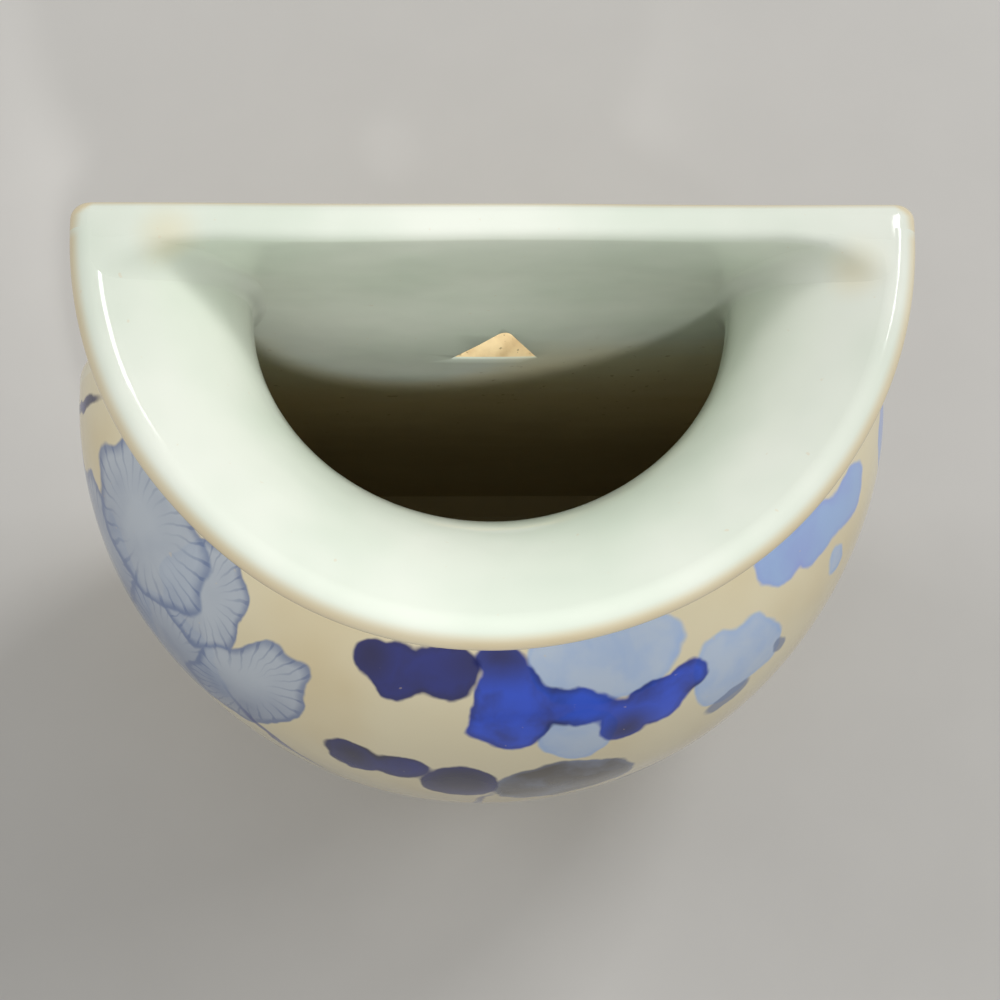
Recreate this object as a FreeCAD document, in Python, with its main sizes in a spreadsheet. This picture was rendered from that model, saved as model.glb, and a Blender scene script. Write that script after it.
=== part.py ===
import FreeCAD, Part
import math
import os
import Sketcher
from types import SimpleNamespace

# Wall vase: a thrown vessel cut in half and luted to a flat back slab. Sizes are in millimetres.
# The wall is the plane Y = 0, the front faces -Y and Z is up. The origin is the top of the hanging
# hole on the wall plane, where the nail carries the vase.

DIMENSIONS = (
    ("lip_radius", 57.0, "middle of the mouth to the outside of the rolled lip"),
    ("lip_roll", 3.0, "radius of the rolled lip"),
    ("throat_radius", 34.5, "inside radius of the throat"),
    ("wall", 4.5, "thickness of the thrown wall"),
    ("belly_radius", 65.5, "outside radius of the belly at its widest"),
    ("base_radius", 36.0, "outside radius where the belly meets the foot"),
    ("foot_height", 6.0, "height of the foot ring"),
    ("foot_width", 6.0, "width of the foot ring"),
    ("foot_bevel", 1.0, "bevel on the edges that the foot stands on"),
    ("belly_rise", 72.0, "top of the foot to the widest level of the belly"),
    ("shoulder_rise", 32.4, "widest level to the turn from round shoulder to hollow neck"),
    ("neck_rise", 17.1, "that turn to the throat"),
    ("throat_land", 3.0, "straight band of the throat, where mouth and belly are joined"),
    ("mouth_rise", 29.5, "throat band to the top of the lip"),
    ("floor_thickness", 5.0, "thickness of the floor"),
    ("slab_thickness", 4.0, "thickness of the back slab"),
    ("slab_round", 2.0, "rounding of the slab's edge against the wall"),
    ("slab_top_round", 1.8, "rounding of the slab's top edge inside the mouth"),
    ("hook_width", 12.4, "width of the hanging hole at its sill"),
    ("hook_height", 12.0, "height of the hanging hole from its sill to its top"),
    ("hook_round", 1.5, "radius at the top of the hanging hole, where the nail sits"),
    ("hook_drop", 44.0, "top of the lip down to the top of the hanging hole"),
    ("coil", 3.2, "width of the clay coils pressed into the inner corners"),
    ("coil_bevel", 2.0, "slope wiped along the free edge of the seam coils"),
)

# Numbers of the points of a line or arc, of the origin, and of the axis where a coordinate is zero.
POINT = {"start": 1, "end": 2, "centre": 3}
ORIGIN = (-1, 1)
ZERO_AXIS = {"DistanceX": -2, "DistanceY": -1}
HALF_TURN = "180"
NEAR = 1e-4


class Size:
    """A length that knows both its number and the formula that it comes from."""

    def __init__(self, formula, value):
        self.formula = formula
        self.value = value

    def __add__(self, other):
        other = as_size(other)
        return Size(f"({self.formula} + {other.formula})", self.value + other.value)

    def __sub__(self, other):
        other = as_size(other)
        return Size(f"({self.formula} - {other.formula})", self.value - other.value)

    def __mul__(self, other):
        other = as_size(other)
        return Size(f"({self.formula} * {other.formula})", self.value * other.value)

    def __truediv__(self, other):
        other = as_size(other)
        return Size(f"({self.formula} / {other.formula})", self.value / other.value)

    def __neg__(self):
        return Size(f"(-1 * {self.formula})", -self.value)


def as_size(number):
    return number if isinstance(number, Size) else Size(str(number), float(number))


def root(size):
    return Size(f"sqrt({size.formula})", math.sqrt(size.value))


def number(coordinate):
    return coordinate.value if isinstance(coordinate, Size) else coordinate


def arc_radius(across, along):
    """Radius of an arc that starts square to its span and ends 'across' and 'along' from there."""
    return (across * across + along * along) / (across * 2)


ON_AXIS = Size("0", 0.0)

doc = FreeCAD.newDocument("wall_vase")
sheet = doc.addObject("Spreadsheet::Sheet", "Dims")
for row, (name, length, meaning) in enumerate(DIMENSIONS, start=1):
    sheet.set(f"A{row}", meaning)
    sheet.set(f"B{row}", str(length))
    sheet.setAlias(f"B{row}", name)
doc.recompute()
dims = SimpleNamespace(**{name: Size(f"Dims.{name}", length) for name, length, meaning in DIMENSIONS})

# Levels above the surface that the vase stands on.
foot_level = dims.foot_height
belly_level = foot_level + dims.belly_rise
turn_level = belly_level + dims.shoulder_rise
neck_level = turn_level + dims.neck_rise
land_level = neck_level + dims.throat_land
lip_level = land_level + dims.mouth_rise
floor_level = foot_level + dims.floor_thickness
coil_level = floor_level + dims.coil
hook_level = lip_level - dims.hook_drop

# The shell's side view: arcs that stand upright at the belly and at the throat.
throat_outside = dims.throat_radius + dims.wall
belly_inside = dims.belly_radius - dims.wall
neck_step = dims.belly_radius - throat_outside
neck_span = dims.shoulder_rise + dims.neck_rise
turn_share = dims.shoulder_rise / neck_span
turn_outside = dims.belly_radius - neck_step * turn_share
lower_radius = arc_radius(dims.belly_radius - dims.base_radius, dims.belly_rise)
lower_centre = dims.belly_radius - lower_radius
shoulder_radius = arc_radius(neck_step, neck_span) * turn_share
shoulder_centre = dims.belly_radius - shoulder_radius
neck_centre = throat_outside + shoulder_radius * (dims.neck_rise / dims.shoulder_rise)

# The mouth's arcs leave the throat upright and run smoothly into the rolled lip.
lip_centre = dims.lip_radius - dims.lip_roll
lip_centre_level = lip_level - dims.lip_roll
flare_span = lip_centre_level - land_level
flare_out_step = lip_centre - throat_outside
flare_in_step = lip_centre - dims.throat_radius
flare_square = flare_span * flare_span - dims.lip_roll * dims.lip_roll
flare_out_radius = (flare_out_step * flare_out_step + flare_square) / ((flare_out_step + dims.lip_roll) * 2)
flare_in_radius = (flare_in_step * flare_in_step + flare_square) / ((flare_in_step - dims.lip_roll) * 2)
flare_out_centre = throat_outside + flare_out_radius
flare_in_centre = dims.throat_radius + flare_in_radius


def toward(origin, target, distance):
    """Point at a distance from the origin on the way to the target, as plain numbers."""
    run = math.dist(origin, target)
    return tuple(a + (b - a) * distance / run for a, b in zip(origin, target))


def lower_across(inset, level):
    """Distance from the axis where the lower belly, set in from its outside, passes a level."""
    radius = lower_radius - inset
    drop = belly_level - level
    return lower_centre + root(radius * radius - drop * drop)


def inner_turn(inset):
    """Turn between shoulder and neck on a surface set in from the outside, as plain numbers."""
    shoulder = (shoulder_centre.value, belly_level.value)
    neck = (neck_centre.value, neck_level.value)
    return toward(shoulder, neck, (shoulder_radius - inset).value)


lip_point = (lip_centre.value, lip_centre_level.value)
lip_under = toward((flare_out_centre.value, land_level.value), lip_point, flare_out_radius.value)
lip_inside = toward((flare_in_centre.value, land_level.value), lip_point, flare_in_radius.value)


def new_body(name, setback):
    """A sub-part whose own origin stands on the base plane, set back from the wall."""
    body = doc.addObject("PartDesign::Body", name)
    body.Label = name
    body.setExpression("Placement.Base.y", (-setback).formula if setback else "0")
    body.setExpression("Placement.Base.z", (-hook_level).formula)
    return body


def new_sketch(body, name, plane):
    sketch = body.newObject("Sketcher::SketchObject", name)
    support = [part for part in body.Origin.OriginFeatures if part.Role == plane][0]
    sketch.AttachmentSupport = [(support, "")]
    sketch.MapMode = "FlatFace"
    return sketch


def bind(sketch, kind, where, coordinate):
    """Hold a point at a size's distance from the origin. A plain number is left to the outline."""
    if coordinate is ON_AXIS:
        sketch.addConstraint(Sketcher.Constraint("PointOnObject", *where, ZERO_AXIS[kind]))
    elif isinstance(coordinate, Size):
        index = sketch.addConstraint(Sketcher.Constraint(kind, *ORIGIN, *where, coordinate.value))
        sketch.setExpression(f"Constraints[{index}]", coordinate.formula)


def draw(sketch, corners, bends=None, smooth=()):
    """Close an outline through named corners. A bend is the centre of the arc that leaves a corner,
    with its radius where the ends don't set it. At smooth corners the neighbours share a tangent.
    A coordinate that is a Size is held; one that is a plain number is found by the outline."""
    bends = bends or {}
    names = list(corners)
    follow = names[1:] + names[:1]
    starts = {}
    ends = {}
    for name, after in zip(names, follow):
        first = FreeCAD.Vector(*map(number, corners[name]), 0)
        last = FreeCAD.Vector(*map(number, corners[after]), 0)
        if name not in bends:
            index = sketch.addGeometry(Part.LineSegment(first, last), False)
            starts[name] = (index, POINT["start"])
            ends[after] = (index, POINT["end"])
            continue
        centre = FreeCAD.Vector(*map(number, bends[name][:2]), 0)
        turns_left = (first - centre).cross(last - centre).z > 0
        low, high = (first, last) if turns_left else (last, first)
        angles = [math.atan2(point.y - centre.y, point.x - centre.x) for point in (low, high)]
        circle = Part.Circle(centre, FreeCAD.Vector(0, 0, 1), (first - centre).Length)
        index = sketch.addGeometry(Part.ArcOfCircle(circle, *angles), False)
        starts[name] = (index, POINT["start" if turns_left else "end"])
        ends[after] = (index, POINT["end" if turns_left else "start"])
        bind(sketch, "DistanceX", (index, POINT["centre"]), bends[name][0])
        bind(sketch, "DistanceY", (index, POINT["centre"]), bends[name][1])
        for radius in bends[name][2:]:
            held = sketch.addConstraint(Sketcher.Constraint("Radius", index, radius.value))
            sketch.setExpression(f"Constraints[{held}]", radius.formula)
    for name in names:
        kind = "Tangent" if name in smooth else "Coincident"
        sketch.addConstraint(Sketcher.Constraint(kind, *ends[name], *starts[name]))
        bind(sketch, "DistanceX", starts[name], corners[name][0])
        bind(sketch, "DistanceY", starts[name], corners[name][1])


def revolve(body, sketch, name, angle, backwards):
    feature = body.newObject("PartDesign::Revolution", name)
    feature.Profile = sketch
    feature.ReferenceAxis = (sketch, ["V_Axis"])
    feature.Reversed = backwards
    feature.setExpression("Angle", angle)
    return feature


def pad(body, sketch, name, length):
    feature = body.newObject("PartDesign::Pad", name)
    feature.Profile = sketch
    feature.setExpression("Length", length.formula)
    return feature


def dress(body, kind, name, base, size_name, size, wanted):
    """Round or bevel the edges of the last feature that the test 'wanted' picks."""
    doc.recompute()
    edges = [f"Edge{index}" for index, edge in enumerate(base.Shape.Edges, start=1) if wanted(edge)]
    feature = body.newObject(kind, name)
    feature.Base = (base, edges)
    feature.setExpression(size_name, size.formula)
    return feature


def make_mouth():
    """Trumpet from the throat to the rolled lip, half a turn round the front."""
    body = new_body("mouth", dims.slab_thickness)
    sketch = new_sketch(body, "mouth_profile", "XZ_Plane")
    corners = {
        "joint_outside": (throat_outside, neck_level),
        "flare_outside": (throat_outside, land_level),
        "lip_under": lip_under,
        "lip_edge": (dims.lip_radius, lip_centre_level),
        "lip_inside": lip_inside,
        "joint_inside": (dims.throat_radius, land_level),
    }
    bends = {
        "flare_outside": (flare_out_centre.value, land_level),
        "lip_under": (lip_centre, lip_centre_level),
        "lip_edge": (lip_centre, lip_centre_level),
        "lip_inside": (flare_in_centre.value, land_level),
    }
    draw(sketch, corners, bends, ("lip_under", "lip_inside"))
    revolve(body, sketch, "mouth_turn", HALF_TURN, True)
    return body


def make_belly():
    """Round body from the foot to the bevelled joint in the throat, half a turn round the front."""
    body = new_body("belly", dims.slab_thickness)
    sketch = new_sketch(body, "belly_profile", "XZ_Plane")
    corners = {
        "base_outside": (dims.base_radius, foot_level),
        "belly_outside": (dims.belly_radius, belly_level),
        "turn_outside": (turn_outside, turn_level),
        "joint_outside": (throat_outside, neck_level),
        "joint_inside": (dims.throat_radius, land_level),
        "neck_inside": (dims.throat_radius, neck_level),
        "turn_inside": inner_turn(dims.wall),
        "belly_inside": (belly_inside, belly_level),
        "base_inside": (lower_across(dims.wall, foot_level).value, foot_level),
    }
    bends = {
        "base_outside": (lower_centre.value, belly_level),
        "belly_outside": (shoulder_centre.value, belly_level),
        "turn_outside": (neck_centre.value, neck_level),
        "neck_inside": (neck_centre.value, neck_level),
        "turn_inside": (shoulder_centre, belly_level),
        "belly_inside": (lower_centre, belly_level),
    }
    draw(sketch, corners, bends, ("turn_inside",))
    revolve(body, sketch, "belly_turn", HALF_TURN, True)
    return body


def pad_slab(body):
    """Slab with the outline of the whole vase: the right half's corners, then the same mirrored."""
    outline = new_sketch(body, "slab_outline", "XZ_Plane")
    right = {
        "base": (dims.base_radius, foot_level),
        "belly": (dims.belly_radius, belly_level),
        "turn": (turn_outside, turn_level),
        "neck": (throat_outside, neck_level),
        "flare": (throat_outside, land_level),
        "lip_under": lip_under,
        "lip_top": (lip_centre, lip_level.value),
    }
    right_bends = {
        "base": (lower_centre.value, belly_level),
        "belly": (shoulder_centre.value, belly_level),
        "turn": (neck_centre.value, neck_level),
        "flare": (flare_out_centre.value, land_level),
        "lip_under": (lip_centre, lip_centre_level, dims.lip_roll),
    }
    corners = {f"right_{name}": place for name, place in right.items()}
    corners.update({f"left_{name}": (-x, level) for name, (x, level) in reversed(right.items())})
    bends = {f"right_{name}": bend for name, bend in right_bends.items()}
    names = list(right)
    for name, bend in right_bends.items():
        after = names[names.index(name) + 1]
        bends[f"left_{after}"] = (-bend[0], *bend[1:])
    draw(outline, corners, bends, ("right_lip_under", "left_lip_under"))
    return pad(body, outline, "slab", dims.slab_thickness)


def round_top_edge(body):
    """Rounding of the slab's top edge inside the mouth, between the two ends of the lip."""
    sketch = new_sketch(body, "top_edge_profile", "YZ_Plane")
    inside_face = -dims.slab_thickness
    corners = {
        "corner": (inside_face, lip_level),
        "below": (inside_face, lip_level - dims.slab_top_round),
        "behind": (inside_face + dims.slab_top_round, lip_level),
    }
    centre = (inside_face + dims.slab_top_round, (lip_level - dims.slab_top_round).value)
    draw(sketch, corners, {"below": centre})
    cut = body.newObject("PartDesign::Pocket", "top_edge")
    cut.Profile = sketch
    cut.SideType = "Symmetric"
    cut.setExpression("Length", ((lip_centre - dims.lip_roll) * 2).formula)
    return cut


def cut_hook_hole(body):
    """Triangular hanging hole with a flat sill and a rounded top for the nail."""
    sketch = new_sketch(body, "hook_outline", "XZ_Plane")
    sill_level = hook_level - dims.hook_height
    half_width = dims.hook_width / 2
    round_level = hook_level - dims.hook_round
    rise = (round_level - sill_level).value
    slant = math.hypot(half_width.value, rise)
    lean = math.atan2(half_width.value, rise) - math.asin(dims.hook_round.value / slant)
    touch_across = dims.hook_round.value * math.cos(lean)
    touch_level = round_level.value + dims.hook_round.value * math.sin(lean)
    corners = {
        "sill_left": (-half_width, sill_level),
        "sill_right": (half_width, sill_level),
        "top_right": (touch_across, touch_level),
        "top_left": (-touch_across, touch_level),
    }
    bends = {"top_right": (ON_AXIS, round_level, dims.hook_round)}
    draw(sketch, corners, bends, ("top_right", "top_left"))
    cut = body.newObject("PartDesign::Pocket", "hook_hole")
    cut.Profile = sketch
    cut.Reversed = True
    cut.setExpression("Length", dims.slab_thickness.formula)
    return cut


def make_back_slab():
    """Flat slab that closes the back, rounded against the wall, with the hanging hole."""
    body = new_body("back_slab", None)
    slab = pad_slab(body)

    def on_wall_edge(edge):
        box = edge.BoundBox
        on_wall = max(abs(box.YMin), abs(box.YMax)) < NEAR
        return on_wall and box.ZMax > foot_level.value + NEAR

    rounded = dress(body, "PartDesign::Fillet", "wall_edge", slab, "Radius", dims.slab_round, on_wall_edge)
    steps = [slab, rounded, round_top_edge(body), cut_hook_hole(body)]
    doc.recompute()
    for before, after in zip(steps, steps[1:]):
        if not after.Shape.Volume < before.Shape.Volume:
            raise RuntimeError(f"{after.Name} removed nothing")
    return body


def make_floor():
    """Half-round floor whose edge follows the inside of the belly."""
    body = new_body("floor", dims.slab_thickness)
    sketch = new_sketch(body, "floor_profile", "XZ_Plane")
    corners = {
        "middle_below": (ON_AXIS, foot_level),
        "edge_below": (lower_across(dims.wall, foot_level).value, foot_level),
        "edge_above": (lower_across(dims.wall, floor_level).value, floor_level),
        "middle_above": (ON_AXIS, floor_level),
    }
    bends = {"edge_below": (lower_centre, belly_level, lower_radius - dims.wall)}
    draw(sketch, corners, bends)
    revolve(body, sketch, "floor_turn", HALF_TURN, True)
    return body


def make_foot_ring():
    """D-shaped foot under the wall, with a straight bar under the slab and bevelled lower edges."""
    body = new_body("foot_ring", None)
    sketch = new_sketch(body, "foot_plan", "XY_Plane")
    outside = dims.base_radius
    inside = dims.base_radius - dims.foot_width
    axis = -dims.slab_thickness
    outer_corners = {
        "right_wall": (outside - dims.slab_round, ON_AXIS),
        "left_wall": (dims.slab_round - outside, ON_AXIS),
        "left_round": (-outside, -dims.slab_round),
        "left_side": (-outside, axis),
        "front": (ON_AXIS, axis - outside),
        "right_side": (outside, axis),
        "right_round": (outside, -dims.slab_round),
    }
    outer_bends = {
        "left_wall": (dims.slab_round - outside, -dims.slab_round.value),
        "left_side": (ON_AXIS, axis.value),
        "front": (ON_AXIS, axis.value),
        "right_round": (outside - dims.slab_round, -dims.slab_round.value),
    }
    inner_corners = {
        "right_side": (inside, axis),
        "left_side": (-inside, axis),
        "front": (ON_AXIS, axis - inside),
    }
    inner_bends = {
        "left_side": (ON_AXIS, axis.value),
        "front": (ON_AXIS, axis.value),
    }
    draw(sketch, outer_corners, outer_bends)
    draw(sketch, inner_corners, inner_bends)
    ring = pad(body, sketch, "ring", dims.foot_height)

    def under_foot(edge):
        return edge.BoundBox.ZMax < NEAR

    dress(body, "PartDesign::Chamfer", "foot_edge", ring, "Size", dims.foot_bevel, under_foot)
    return body


def make_seam_coil(name, side):
    """Clay coil wiped into the inner corner of shell and slab, from the floor coil up to the lip."""
    body = new_body(name, dims.slab_thickness)
    sketch = new_sketch(body, f"{name}_profile", "XZ_Plane")
    wall_rise = dims.mouth_rise - dims.lip_roll - dims.coil
    corners = {}
    bends = {}
    for layer, inset in (("wall", dims.wall), ("free", dims.wall + dims.coil)):
        flare = flare_in_radius + inset - dims.wall
        rise = wall_rise * flare / flare_in_radius
        top_across = flare_in_centre - root(flare * flare - rise * rise)
        turn_across, turn_height = inner_turn(inset)
        rail = {
            "low": (lower_across(inset, coil_level).value * side, coil_level),
            "belly": ((dims.belly_radius - inset) * side, belly_level),
            "turn": (turn_across * side, turn_height),
            "neck": ((throat_outside - inset) * side, neck_level),
            "flare": ((throat_outside - inset) * side, land_level),
            "top": (top_across.value * side, land_level + rise),
        }
        rail_bends = {
            ("low", "belly"): (lower_centre * side, belly_level),
            ("belly", "turn"): (shoulder_centre * side, belly_level),
            ("turn", "neck"): (neck_centre.value * side, neck_level),
            ("flare", "top"): (flare_in_centre * side, land_level),
        }
        climbs = layer == "wall"
        for point in rail if climbs else reversed(rail):
            corners[f"{layer}_{point}"] = rail[point]
        for (lower, upper), bend in rail_bends.items():
            bends[f"{layer}_{lower if climbs else upper}"] = bend
    draw(sketch, corners, bends, ("wall_turn", "free_turn"))
    swing = f"asin({(dims.coil / dims.throat_radius).formula})"
    strip = revolve(body, sketch, f"{name}_turn", swing, side > 0)

    def on_free_edge(edge):
        spot = edge.CenterOfMass
        from_axis = math.hypot(spot.x, spot.y)
        on_land = neck_level.value < spot.z < land_level.value
        free_radius = (dims.throat_radius - dims.coil).value
        return on_land and spot.y < -NEAR and abs(from_axis - free_radius) < NEAR

    dress(body, "PartDesign::Chamfer", f"{name}_slope", strip, "Size", dims.coil_bevel, on_free_edge)
    return body


def make_floor_coil():
    """Clay coil in the corner round the floor: half a ring and a straight bar along the slab."""
    body = new_body("floor_coil", dims.slab_thickness)
    ring = new_sketch(body, "ring_profile", "XZ_Plane")
    corner = lower_across(dims.wall, floor_level)
    ring_corners = {
        "corner": (corner.value, floor_level),
        "up_the_wall": (lower_across(dims.wall, coil_level).value, coil_level),
        "along_the_floor": (corner - dims.coil, floor_level),
    }
    draw(ring, ring_corners, {"corner": (lower_centre, belly_level, lower_radius - dims.wall)})
    revolve(body, ring, "ring", HALF_TURN, True)
    bar = new_sketch(body, "bar_profile", "YZ_Plane")
    bar_corners = {
        "corner": (ON_AXIS, floor_level),
        "up_the_slab": (ON_AXIS, coil_level),
        "along_the_floor": (-dims.coil, floor_level),
    }
    draw(bar, bar_corners)
    along_slab = pad(body, bar, "bar", corner * 2 - dims.coil)
    along_slab.SideType = "Symmetric"
    return body


def check(objects):
    for item in objects:
        if "Invalid" in item.State or "Error" in item.State:
            raise RuntimeError(f"{item.Name} failed: {item.State}")
        if item.isDerivedFrom("Sketcher::SketchObject") and not item.FullyConstrained:
            raise RuntimeError(f"{item.Name} is not fully held by its sizes")


def write(parts):
    os.makedirs("parts", exist_ok=True)
    for part in parts:
        shape = part.Shape
        if shape.isNull() or not shape.isValid() or len(shape.Solids) != 1:
            raise RuntimeError(f"{part.Label} is not one sound solid")
        shape.exportStep(f"parts/{part.Label}.step")
        print(part.Label, round(shape.Volume), "mm3")


parts = [
    make_mouth(),
    make_belly(),
    make_back_slab(),
    make_floor(),
    make_foot_ring(),
    make_seam_coil("seam_coil_left", -1),
    make_seam_coil("seam_coil_right", 1),
    make_floor_coil(),
]
doc.recompute()
check(doc.Objects)
write(parts)
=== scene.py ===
# %% [markdown]
# # A half-round wall vase
# The vase hangs flat against a wall. A potter throws a round vessel, cuts it in half, closes the back
# with a flat slab and joins everything with wet clay. This lesson models each of those pieces on the
# frame that carries them, then glazes and paints them. All lengths are metres, so `MM` turns the
# millimetres of the workshop into scene units.

# %% Load the frame
import math

import bmesh
import bpy
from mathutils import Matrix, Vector, noise


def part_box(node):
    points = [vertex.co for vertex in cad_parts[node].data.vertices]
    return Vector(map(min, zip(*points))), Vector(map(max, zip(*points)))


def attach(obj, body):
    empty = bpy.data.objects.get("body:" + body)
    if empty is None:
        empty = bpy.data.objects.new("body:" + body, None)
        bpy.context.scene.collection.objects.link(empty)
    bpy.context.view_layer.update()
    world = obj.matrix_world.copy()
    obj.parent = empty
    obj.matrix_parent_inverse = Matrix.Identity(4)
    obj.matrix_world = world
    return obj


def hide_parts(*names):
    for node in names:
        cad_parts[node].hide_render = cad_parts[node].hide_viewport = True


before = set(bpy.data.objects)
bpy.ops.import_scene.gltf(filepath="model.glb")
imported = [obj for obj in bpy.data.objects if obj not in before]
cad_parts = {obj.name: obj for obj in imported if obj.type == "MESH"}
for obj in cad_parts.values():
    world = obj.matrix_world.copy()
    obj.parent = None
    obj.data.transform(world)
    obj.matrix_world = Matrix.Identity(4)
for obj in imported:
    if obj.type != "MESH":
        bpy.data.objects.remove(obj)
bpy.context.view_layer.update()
MM = 0.001
print("pieces in the frame:", sorted(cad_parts))

# %% [markdown]
# ## Sizes
# Most sizes can be read off the boxes of the frame's pieces, so nothing has to be fitted later. The
# wall of the vessel, its throat and the roll of its lip don't show in any box, so they are named here.
# The side view is a chain of arcs: belly, shoulder, neck and mouth. Each arc starts where the last
# one ends and in the same direction, so two sizes settle its radius.

# %% Sizes of the side view
mouth_low, mouth_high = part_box("mouth")
belly_low, belly_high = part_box("belly")
slab_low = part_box("back_slab")[0]
foot_low, foot_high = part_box("foot_ring")

WALL = 4.5 * MM
LIP_ROLL = 3 * MM
THROAT_RADIUS = 34.5 * MM
BELLY_RISE = 72 * MM
SHOULDER_RISE = 32.4 * MM

AXIS_Y = slab_low.y
LIP_RADIUS = mouth_high.x
LIP_LEVEL = mouth_high.z
NECK_LEVEL = mouth_low.z
LAND_LEVEL = belly_high.z
BELLY_RADIUS = belly_high.x
FOOT_LEVEL = belly_low.z
FLOOR_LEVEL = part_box("floor")[1].z
BASE_RADIUS = foot_high.x
BELLY_LEVEL = FOOT_LEVEL + BELLY_RISE


def arc_radius(across, along):
    """Radius of an arc that starts square to its span and ends `across` and `along` from there."""
    return (across * across + along * along) / (2 * across)


throat_outside = THROAT_RADIUS + WALL
neck_span = NECK_LEVEL - BELLY_LEVEL
shoulder_share = SHOULDER_RISE / neck_span
lower_radius = arc_radius(BELLY_RADIUS - BASE_RADIUS, BELLY_RISE)
lower_centre = (BELLY_RADIUS - lower_radius, BELLY_LEVEL)
lower_turn = math.asin(BELLY_RISE / lower_radius)
shoulder_radius = arc_radius(BELLY_RADIUS - throat_outside, neck_span) * shoulder_share
shoulder_centre = (BELLY_RADIUS - shoulder_radius, BELLY_LEVEL)
shoulder_turn = math.asin(SHOULDER_RISE / shoulder_radius)
neck_radius = shoulder_radius * (1 / shoulder_share - 1)
neck_centre = (throat_outside + neck_radius, NECK_LEVEL)
print(f"belly {2 * BELLY_RADIUS / MM:.0f} mm wide, lower arc {lower_radius / MM:.0f} mm in radius")

# %% [markdown]
# The mouth has two arcs, one under the lip and one inside it. Each leaves the throat upright and has to
# touch the small circle of the lip's roll, which settles its radius too.

# %% Arcs of the mouth
lip_centre = (LIP_RADIUS - LIP_ROLL, LIP_LEVEL - LIP_ROLL)
flare_span = lip_centre[1] - LAND_LEVEL


def flare(throat, roll_side):
    """Radius, centre and turn of an arc from the upright throat to the lip's roll.

    `roll_side` is 1 for the arc under the lip and -1 for the one inside it.
    """
    step = lip_centre[0] - throat
    roll = LIP_ROLL * roll_side
    radius = (step * step + flare_span * flare_span - roll * roll) / (2 * (step + roll))
    centre = (throat + radius, LAND_LEVEL)
    turn = math.atan2(flare_span, centre[0] - lip_centre[0])
    return radius, centre, turn


under_radius, under_centre, under_turn = flare(throat_outside, 1)
inner_radius, inner_centre, inner_turn = flare(THROAT_RADIUS, -1)
print(f"mouth {2 * LIP_RADIUS / MM:.0f} mm wide")
print(f"its flares have radii of {under_radius / MM:.0f} and {inner_radius / MM:.0f} mm")

# %% [markdown]
# ## A pen for the side view
# A profile is drawn like a potter's template: put the pen down, draw an arc, draw a line. An arc is one
# vertex spun round a centre, and a line is that vertex extruded. The first and last step of each arc
# are very short, because a smooth-shaded surface is only true at its rim if the faces there are narrow.

# %% The pen
FINE = 0.006


def put_pen(bm, across, level):
    return bm.verts.new((across, AXIS_Y, level))


def draw_line(bm, pen, across, level):
    end = bmesh.ops.extrude_vert_indiv(bm, verts=[pen])["verts"][0]
    end.co = (across, AXIS_Y, level)
    return end


def draw_arc(bm, pen, centre, turn, steps):
    """Spin the pen round a centre in the side view. A positive turn goes from across to up."""
    for share, count in ((FINE, 1), (1 - 2 * FINE, steps), (FINE, 1)):
        spun = bmesh.ops.spin(
            bm, geom=[pen], cent=(centre[0], AXIS_Y, centre[1]), axis=(0, -1, 0),
            angle=turn * share, steps=count,
        )
        pen = next(part for part in spun["geom_last"] if isinstance(part, bmesh.types.BMVert))
    return pen


print(f"each arc starts and ends with {FINE:.1%} of its turn")

# %% [markdown]
# ## Hand-made unevenness
# No thrown vessel is a perfect surface of revolution. One gentle noise field moves every vertex by a
# few tenths of a millimetre. It depends only on the place in space, so pieces that touch move together
# and their seams stay shut. The push towards the wall fades out at the back, which stays flat for
# hanging, and everything fades out at the foot, which has to stand. The noise takes its seed from the
# clock unless one is set, so one is set here and every run gives the same vase.

# %% Unevenness
DRIFT = 0.9 * MM
DRIFT_LENGTH = 42 * MM
DRIFT_SEED = 53
CALM_HEIGHT = 40 * MM
CALM_DEPTH = 12 * MM


def ease(share):
    """0 up to a share of 0 and 1 from a share of 1, smooth between."""
    share = min(max(share, 0), 1)
    return share * share * (3 - 2 * share)


def make_uneven(bm):
    noise.seed_set(DRIFT_SEED)
    for vert in bm.verts:
        push = noise.noise_vector(vert.co / DRIFT_LENGTH) * DRIFT
        push.y *= ease(-vert.co.y / CALM_DEPTH)
        vert.co += push * ease((vert.co.z - FOOT_LEVEL) / CALM_HEIGHT)


print(f"unevenness below {DRIFT / MM:.1f} mm, in waves of about {DRIFT_LENGTH / MM:.0f} mm")

# %% [markdown]
# Every piece ends in the same way: a mesh with its materials, smooth shading that breaks at sharp
# edges, a parent that it rides on, and the frame's piece that it stands for hidden. Each mesh also gets
# a number per vertex that says how far it faces outwards, because the glaze is warmer outside than
# inside.

# %% Finishing a piece
SHARP = math.radians(40)
OUTER_START = 0.4
OUTER_SPAN = 0.55


def finish_piece(bm, name, node, materials, outward):
    """Turn a bmesh into a smooth-shaded piece that rides with the vase and stands for its node."""
    bmesh.ops.recalc_face_normals(bm, faces=bm.faces[:])
    mesh = bpy.data.meshes.new(name)
    bm.to_mesh(mesh)
    bm.free()
    facing = (outward(vert.co, vert.normal) for vert in mesh.vertices)
    shares = [ease((amount - OUTER_START) / OUTER_SPAN) for amount in facing]
    mesh.attributes.new("outside", "FLOAT", "POINT").data.foreach_set("value", shares)
    for material in materials:
        mesh.materials.append(material)
    mesh.shade_smooth()
    mesh.set_sharp_from_angle(angle=SHARP)
    piece = bpy.data.objects.new(name, mesh)
    bpy.context.scene.collection.objects.link(piece)
    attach(piece, "root")
    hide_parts(node)
    print(name, len(mesh.polygons), "faces")


print(f"edges sharper than {math.degrees(SHARP):.0f} degrees stay crisp")

# %% [markdown]
# ## Materials as arithmetic
# A glaze is easier to read as a sum than as a picture of boxes and wires. `Wire` holds one socket of a
# material. Adding or multiplying wires adds the Math node for it, and `node` makes any other node.
# A Mix node has a set of sockets for each kind of value, so the numbers of the colour ones are named.

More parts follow.
